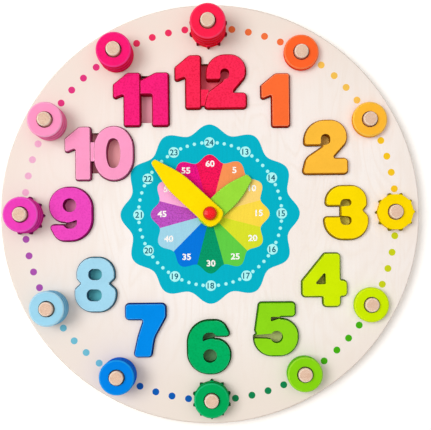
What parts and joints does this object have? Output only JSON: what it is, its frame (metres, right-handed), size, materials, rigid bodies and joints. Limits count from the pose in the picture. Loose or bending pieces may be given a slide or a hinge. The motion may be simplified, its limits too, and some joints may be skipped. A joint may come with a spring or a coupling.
{
  "type": "teaching clock",
  "caption": "Round wooden teaching clock with lift-out puzzle numerals, counting rings stacked on dowel pegs, toothed foot rings and free-turning hands.",
  "frame": {"origin": "centre of the back face of the board, on the surface that the clock lies on", "axes": "+Z out of the dial, along the pivot and the pegs; +Y towards the 12; +X towards the 3"},
  "size_m": [0.3014, 0.3014, 0.0373],
  "materials": {
    "board_wood": "sanded pale plywood, clear matt lacquer",
    "dowel_wood": "plain sanded dowel",
    "minute_hand_paint": "yellow satin paint on wood",
    "hour_hand_paint": "light green satin paint on wood",
    "cap_plastic": "glossy red plastic",
    "washer_plastic": "white nylon",
    "pivot_steel": "zinc plated steel",
    "paint_orange": "orange satin paint on wood",
    "paint_amber": "amber satin paint on wood",
    "paint_yellow": "yellow satin paint on wood",
    "paint_lime": "lime satin paint on wood",
    "paint_light_green": "light green satin paint on wood",
    "paint_green": "green satin paint on wood",
    "paint_blue": "blue satin paint on wood",
    "paint_light_blue": "light blue satin paint on wood",
    "paint_magenta": "magenta satin paint on wood",
    "paint_pink": "pink satin paint on wood",
    "paint_hot_pink": "hot pink satin paint on wood",
    "paint_crimson": "crimson satin paint on wood"
  },
  "bodies": {
    "board": {"board_front": "board_wood", "board_back": "board_wood", "board_washer": "washer_plastic", "hand_washer": "washer_plastic", "pivot_post": "pivot_steel", "pivot_screw": "pivot_steel", "pivot_cap": "cap_plastic", "peg_01": "dowel_wood", "peg_02": "dowel_wood", "peg_03": "dowel_wood", "peg_04": "dowel_wood", "peg_05": "dowel_wood", "peg_06": "dowel_wood", "peg_07": "dowel_wood", "peg_08": "dowel_wood", "peg_09": "dowel_wood", "peg_10": "dowel_wood", "peg_11": "dowel_wood", "peg_12": "dowel_wood"},
    "hour_hand": {"hour_hand": "hour_hand_paint"},
    "minute_hand": {"minute_hand": "minute_hand_paint"},
    "numeral_01": {"numeral_01": "paint_orange"},
    "counting_ring_01_1": {"counting_ring_01_1": "paint_orange"},
    "numeral_02": {"numeral_02": "paint_amber"},
    "counting_ring_02_1": {"counting_ring_02_1": "paint_amber"},
    "numeral_03": {"numeral_03": "paint_yellow"},
    "toothed_ring_03": {"toothed_ring_03": "paint_yellow"},
    "numeral_04": {"numeral_04": "paint_lime"},
    "counting_ring_04_1": {"counting_ring_04_1": "paint_lime"},
    "numeral_05": {"numeral_05": "paint_light_green"},
    "counting_ring_05_1": {"counting_ring_05_1": "paint_light_green"},
    "counting_ring_05_2": {"counting_ring_05_2": "paint_light_green"},
    "numeral_06": {"numeral_06": "paint_green"},
    "toothed_ring_06": {"toothed_ring_06": "paint_green"},
    "counting_ring_06_2": {"counting_ring_06_2": "paint_green"},
    "numeral_07": {"numeral_07": "paint_blue"},
    "counting_ring_07_1": {"counting_ring_07_1": "paint_blue"},
    "counting_ring_07_2": {"counting_ring_07_2": "paint_blue"},
    "counting_ring_07_3": {"counting_ring_07_3": "paint_blue"},
    "numeral_08": {"numeral_08": "paint_light_blue"},
    "counting_ring_08_1": {"counting_ring_08_1": "paint_light_blue"},
    "counting_ring_08_2": {"counting_ring_08_2": "paint_light_blue"},
    "counting_ring_08_3": {"counting_ring_08_3": "paint_light_blue"},
    "numeral_09": {"numeral_09": "paint_magenta"},
    "toothed_ring_09": {"toothed_ring_09": "paint_magenta"},
    "counting_ring_09_2": {"counting_ring_09_2": "paint_magenta"},
    "counting_ring_09_3": {"counting_ring_09_3": "paint_magenta"},
    "numeral_10": {"numeral_10": "paint_pink"},
    "counting_ring_10_1": {"counting_ring_10_1": "paint_pink"},
    "counting_ring_10_2": {"counting_ring_10_2": "paint_pink"},
    "counting_ring_10_3": {"counting_ring_10_3": "paint_pink"},
    "numeral_11": {"numeral_11": "paint_hot_pink"},
    "counting_ring_11_1": {"counting_ring_11_1": "paint_hot_pink"},
    "counting_ring_11_2": {"counting_ring_11_2": "paint_hot_pink"},
    "counting_ring_11_3": {"counting_ring_11_3": "paint_hot_pink"},
    "numeral_12": {"numeral_12": "paint_crimson"},
    "toothed_ring_12": {"toothed_ring_12": "paint_crimson"},
    "counting_ring_12_2": {"counting_ring_12_2": "paint_crimson"},
    "counting_ring_12_3": {"counting_ring_12_3": "paint_crimson"},
    "counting_ring_12_4": {"counting_ring_12_4": "paint_crimson"}
  },
  "joints": [
    {"name": "hour_hand_turn", "type": "hinge", "parent": "board", "child": "hour_hand", "pos_m": [0, 0, 0.0108], "axis": [0, 0, -1], "continuous": true},
    {"name": "minute_hand_turn", "type": "hinge", "parent": "board", "child": "minute_hand", "pos_m": [0, 0, 0.0146], "axis": [0, 0, -1], "continuous": true},
    {"name": "numeral_01_lift", "type": "slide", "parent": "board", "child": "numeral_01", "axis": [0, 0, 1], "range_m": [0, 0.008]},
    {"name": "counting_ring_01_1_lift", "type": "slide", "parent": "board", "child": "counting_ring_01_1", "axis": [0, 0, 1], "range_m": [0, 0.0113]},
    {"name": "numeral_02_lift", "type": "slide", "parent": "board", "child": "numeral_02", "axis": [0, 0, 1], "range_m": [0, 0.008]},
    {"name": "counting_ring_02_1_lift", "type": "slide", "parent": "board", "child": "counting_ring_02_1", "axis": [0, 0, 1], "range_m": [0, 0.0113]},
    {"name": "numeral_03_lift", "type": "slide", "parent": "board", "child": "numeral_03", "axis": [0, 0, 1], "range_m": [0, 0.008]},
    {"name": "toothed_ring_03_lift", "type": "slide", "parent": "board", "child": "toothed_ring_03", "axis": [0, 0, 1], "range_m": [0, 0.0113]},
    {"name": "numeral_04_lift", "type": "slide", "parent": "board", "child": "numeral_04", "axis": [0, 0, 1], "range_m": [0, 0.008]},
    {"name": "counting_ring_04_1_lift", "type": "slide", "parent": "board", "child": "counting_ring_04_1", "axis": [0, 0, 1], "range_m": [0, 0.0113]},
    {"name": "numeral_05_lift", "type": "slide", "parent": "board", "child": "numeral_05", "axis": [0, 0, 1], "range_m": [0, 0.008]},
    {"name": "counting_ring_05_1_lift", "type": "slide", "parent": "board", "child": "counting_ring_05_1", "axis": [0, 0, 1], "range_m": [0, 0.0173]},
    {"name": "counting_ring_05_2_lift", "type": "slide", "parent": "counting_ring_05_1", "child": "counting_ring_05_2", "axis": [0, 0, 1], "range_m": [0, 0.0113]},
    {"name": "numeral_06_lift", "type": "slide", "parent": "board", "child": "numeral_06", "axis": [0, 0, 1], "range_m": [0, 0.008]},
    {"name": "toothed_ring_06_lift", "type": "slide", "parent": "board", "child": "toothed_ring_06", "axis": [0, 0, 1], "range_m": [0, 0.0173]},
    {"name": "counting_ring_06_2_lift", "type": "slide", "parent": "toothed_ring_06", "child": "counting_ring_06_2", "axis": [0, 0, 1], "range_m": [0, 0.0113]},
    {"name": "numeral_07_lift", "type": "slide", "parent": "board", "child": "numeral_07", "axis": [0, 0, 1], "range_m": [0, 0.008]},
    {"name": "counting_ring_07_1_lift", "type": "slide", "parent": "board", "child": "counting_ring_07_1", "axis": [0, 0, 1], "range_m": [0, 0.0233]},
    {"name": "counting_ring_07_2_lift", "type": "slide", "parent": "counting_ring_07_1", "child": "counting_ring_07_2", "axis": [0, 0, 1], "range_m": [0, 0.0173]},
    {"name": "counting_ring_07_3_lift", "type": "slide", "parent": "counting_ring_07_2", "child": "counting_ring_07_3", "axis": [0, 0, 1], "range_m": [0, 0.0113]},
    {"name": "numeral_08_lift", "type": "slide", "parent": "board", "child": "numeral_08", "axis": [0, 0, 1], "range_m": [0, 0.008]},
    {"name": "counting_ring_08_1_lift", "type": "slide", "parent": "board", "child": "counting_ring_08_1", "axis": [0, 0, 1], "range_m": [0, 0.0233]},
    {"name": "counting_ring_08_2_lift", "type": "slide", "parent": "counting_ring_08_1", "child": "counting_ring_08_2", "axis": [0, 0, 1], "range_m": [0, 0.0173]},
    {"name": "counting_ring_08_3_lift", "type": "slide", "parent": "counting_ring_08_2", "child": "counting_ring_08_3", "axis": [0, 0, 1], "range_m": [0, 0.0113]},
    {"name": "numeral_09_lift", "type": "slide", "parent": "board", "child": "numeral_09", "axis": [0, 0, 1], "range_m": [0, 0.008]},
    {"name": "toothed_ring_09_lift", "type": "slide", "parent": "board", "child": "toothed_ring_09", "axis": [0, 0, 1], "range_m": [0, 0.0233]},
    {"name": "counting_ring_09_2_lift", "type": "slide", "parent": "toothed_ring_09", "child": "counting_ring_09_2", "axis": [0, 0, 1], "range_m": [0, 0.0173]},
    {"name": "counting_ring_09_3_lift", "type": "slide", "parent": "counting_ring_09_2", "child": "counting_ring_09_3", "axis": [0, 0, 1], "range_m": [0, 0.0113]},
    {"name": "numeral_10_lift", "type": "slide", "parent": "board", "child": "numeral_10", "axis": [0, 0, 1], "range_m": [0, 0.008]},
    {"name": "counting_ring_10_1_lift", "type": "slide", "parent": "board", "child": "counting_ring_10_1", "axis": [0, 0, 1], "range_m": [0, 0.0233]},
    {"name": "counting_ring_10_2_lift", "type": "slide", "parent": "counting_ring_10_1", "child": "counting_ring_10_2", "axis": [0, 0, 1], "range_m": [0, 0.0173]},
    {"name": "counting_ring_10_3_lift", "type": "slide", "parent": "counting_ring_10_2", "child": "counting_ring_10_3", "axis": [0, 0, 1], "range_m": [0, 0.0113]},
    {"name": "numeral_11_lift", "type": "slide", "parent": "board", "child": "numeral_11", "axis": [0, 0, 1], "range_m": [0, 0.008]},
    {"name": "counting_ring_11_1_lift", "type": "slide", "parent": "board", "child": "counting_ring_11_1", "axis": [0, 0, 1], "range_m": [0, 0.0233]},
    {"name": "counting_ring_11_2_lift", "type": "slide", "parent": "counting_ring_11_1", "child": "counting_ring_11_2", "axis": [0, 0, 1], "range_m": [0, 0.0173]},
    {"name": "counting_ring_11_3_lift", "type": "slide", "parent": "counting_ring_11_2", "child": "counting_ring_11_3", "axis": [0, 0, 1], "range_m": [0, 0.0113]},
    {"name": "numeral_12_lift", "type": "slide", "parent": "board", "child": "numeral_12", "axis": [0, 0, 1], "range_m": [0, 0.008]},
    {"name": "toothed_ring_12_lift", "type": "slide", "parent": "board", "child": "toothed_ring_12", "axis": [0, 0, 1], "range_m": [0, 0.0293]},
    {"name": "counting_ring_12_2_lift", "type": "slide", "parent": "toothed_ring_12", "child": "counting_ring_12_2", "axis": [0, 0, 1], "range_m": [0, 0.0233]},
    {"name": "counting_ring_12_3_lift", "type": "slide", "parent": "counting_ring_12_2", "child": "counting_ring_12_3", "axis": [0, 0, 1], "range_m": [0, 0.0173]},
    {"name": "counting_ring_12_4_lift", "type": "slide", "parent": "counting_ring_12_3", "child": "counting_ring_12_4", "axis": [0, 0, 1], "range_m": [0, 0.0113]}
  ]
}
